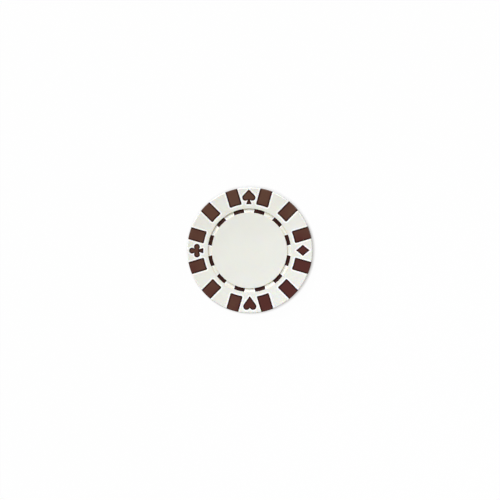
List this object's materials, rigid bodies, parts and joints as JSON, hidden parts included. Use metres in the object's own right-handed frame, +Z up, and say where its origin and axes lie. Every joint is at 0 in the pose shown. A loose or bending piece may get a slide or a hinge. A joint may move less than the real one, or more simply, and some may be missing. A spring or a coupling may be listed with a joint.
{
  "type": "poker chip",
  "caption": "Round composite poker chip: white moulding over a steel slug, dark edge inserts and card-suit plugs in the raised rim, plain centre. Lies flat and stacks.",
  "frame": {"origin": "centre of the chip's lower side, on the surface that it lies on", "axes": "+Z up along the chip's axis, +Y towards the spade, +X towards the diamond"},
  "size_m": [0.039, 0.039, 0.0033],
  "materials": {
    "white_plastic": "warm white filled ABS, satin as moulded, with fine grain",
    "brown_plastic": "reddish brown filled ABS, satin as moulded, with fine grain",
    "slug_steel": "plain stamped steel, hidden inside"
  },
  "bodies": {
    "root": {"white_body": "white_plastic", "weight_slug": "slug_steel", "edge_insert_01": "brown_plastic", "edge_insert_02": "brown_plastic", "edge_insert_03": "brown_plastic", "edge_insert_04": "brown_plastic", "edge_insert_05": "brown_plastic", "edge_insert_06": "brown_plastic", "edge_insert_07": "brown_plastic", "edge_insert_08": "brown_plastic", "edge_insert_09": "brown_plastic", "edge_insert_10": "brown_plastic", "edge_insert_11": "brown_plastic", "edge_insert_12": "brown_plastic", "diamond_plug": "brown_plastic", "spade_plug": "brown_plastic", "club_plug": "brown_plastic", "heart_plug": "brown_plastic"}
  },
  "joints": []
}
